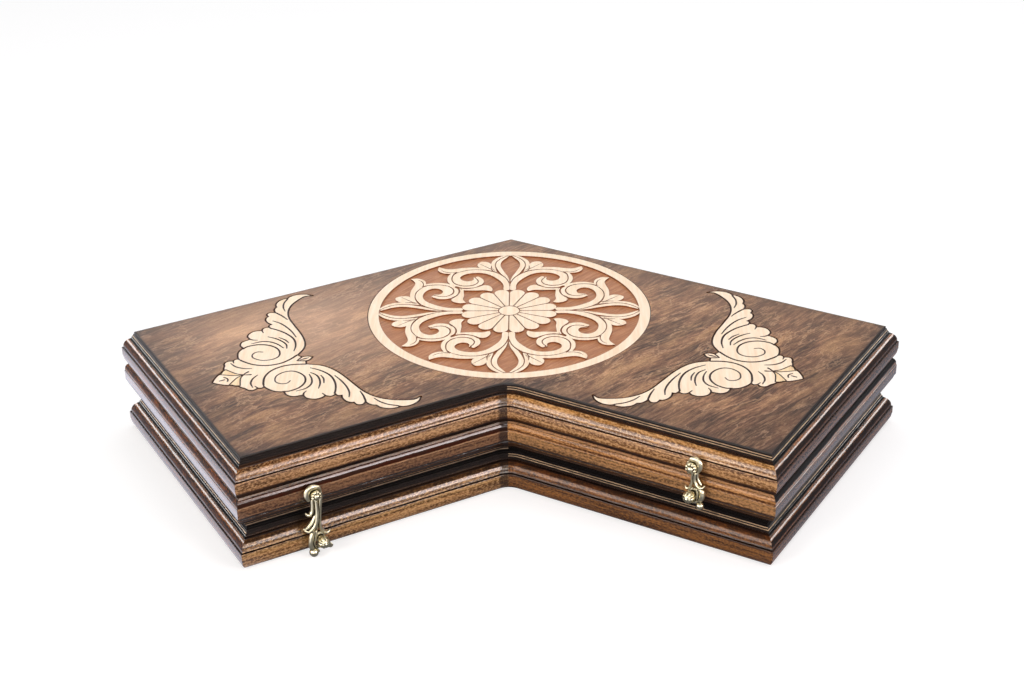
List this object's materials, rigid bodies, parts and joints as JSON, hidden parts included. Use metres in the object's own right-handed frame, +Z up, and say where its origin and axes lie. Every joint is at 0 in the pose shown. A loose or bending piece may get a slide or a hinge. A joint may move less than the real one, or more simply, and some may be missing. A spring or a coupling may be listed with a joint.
{
  "type": "three-player backgammon set",
  "caption": "Folding three-player backgammon set: three moulded chevron trays closed in a Z, with a carved round medallion on the lid and brass hook clasps.",
  "frame": {"origin": "middle of the closed case's footprint, on the surface it stands on", "axes": "+X along the chevron from its left arm to its right arm, +Z up out of the carved lid, -Y towards the notch and the clasps"},
  "size_m": [0.6248, 0.3916, 0.0885],
  "materials": {
    "stained_plywood": "satin walnut-stained birch plywood",
    "moulded_hardwood": "glossy lacquered moulding with burnt shading",
    "light_inlay": "satin light veneer",
    "dark_inlay": "satin dark veneer",
    "antique_brass": "antique pale brass with dark patina",
    "hinge_brass": "brushed brass"
  },
  "bodies": {
    "middle_tray": {"middle_panel": "stained_plywood", "middle_notch_rail_left": "moulded_hardwood", "middle_notch_rail_right": "moulded_hardwood", "middle_end_rail_left": "moulded_hardwood", "middle_end_rail_right": "moulded_hardwood", "middle_back_rail_left": "moulded_hardwood", "middle_back_rail_right": "moulded_hardwood", "middle_points_light": "light_inlay", "middle_points_dark": "dark_inlay", "lid_hinge_lower_leaves": "hinge_brass", "lid_hinge_pins": "hinge_brass", "base_hinge_upper_leaves": "hinge_brass", "base_hinge_pins": "hinge_brass", "left_hook_pivot_screw": "antique_brass", "right_catch_stud": "antique_brass"},
    "top_tray": {"top_carved_panel": "stained_plywood", "top_notch_rail_left": "moulded_hardwood", "top_notch_rail_right": "moulded_hardwood", "top_end_rail_left": "moulded_hardwood", "top_end_rail_right": "moulded_hardwood", "top_back_rail_left": "moulded_hardwood", "top_back_rail_right": "moulded_hardwood", "top_points_light": "light_inlay", "top_points_dark": "dark_inlay", "lid_hinge_upper_leaves": "hinge_brass", "right_hook_pivot_screw": "antique_brass"},
    "bottom_tray": {"bottom_panel": "stained_plywood", "bottom_notch_rail_left": "moulded_hardwood", "bottom_notch_rail_right": "moulded_hardwood", "bottom_end_rail_left": "moulded_hardwood", "bottom_end_rail_right": "moulded_hardwood", "bottom_back_rail_left": "moulded_hardwood", "bottom_back_rail_right": "moulded_hardwood", "bottom_points_light": "light_inlay", "bottom_points_dark": "dark_inlay", "base_hinge_lower_leaves": "hinge_brass", "left_catch_stud": "antique_brass"},
    "left_hook": {"left_hook": "antique_brass"},
    "right_hook": {"right_hook": "antique_brass"}
  },
  "joints": [
    {"name": "lid_hinge", "type": "hinge", "parent": "middle_tray", "child": "top_tray", "pos_m": [0, 0.196, 0.059], "axis": [-0.866, 0.5, 0], "range_deg": [0, 180]},
    {"name": "base_hinge", "type": "hinge", "parent": "middle_tray", "child": "bottom_tray", "pos_m": [0, 0.196, 0.0295], "axis": [0.866, 0.5, 0], "range_deg": [0, 180]},
    {"name": "left_hook_pivot", "type": "hinge", "parent": "middle_tray", "child": "left_hook", "pos_m": [-0.14463, -0.15903, 0.0493], "axis": [-0.5, 0.866, 0], "range_deg": [0, 100]},
    {"name": "right_hook_pivot", "type": "hinge", "parent": "top_tray", "child": "right_hook", "pos_m": [0.13986, -0.15628, 0.0687], "axis": [-0.5, -0.866, 0], "range_deg": [0, 100]}
  ]
}
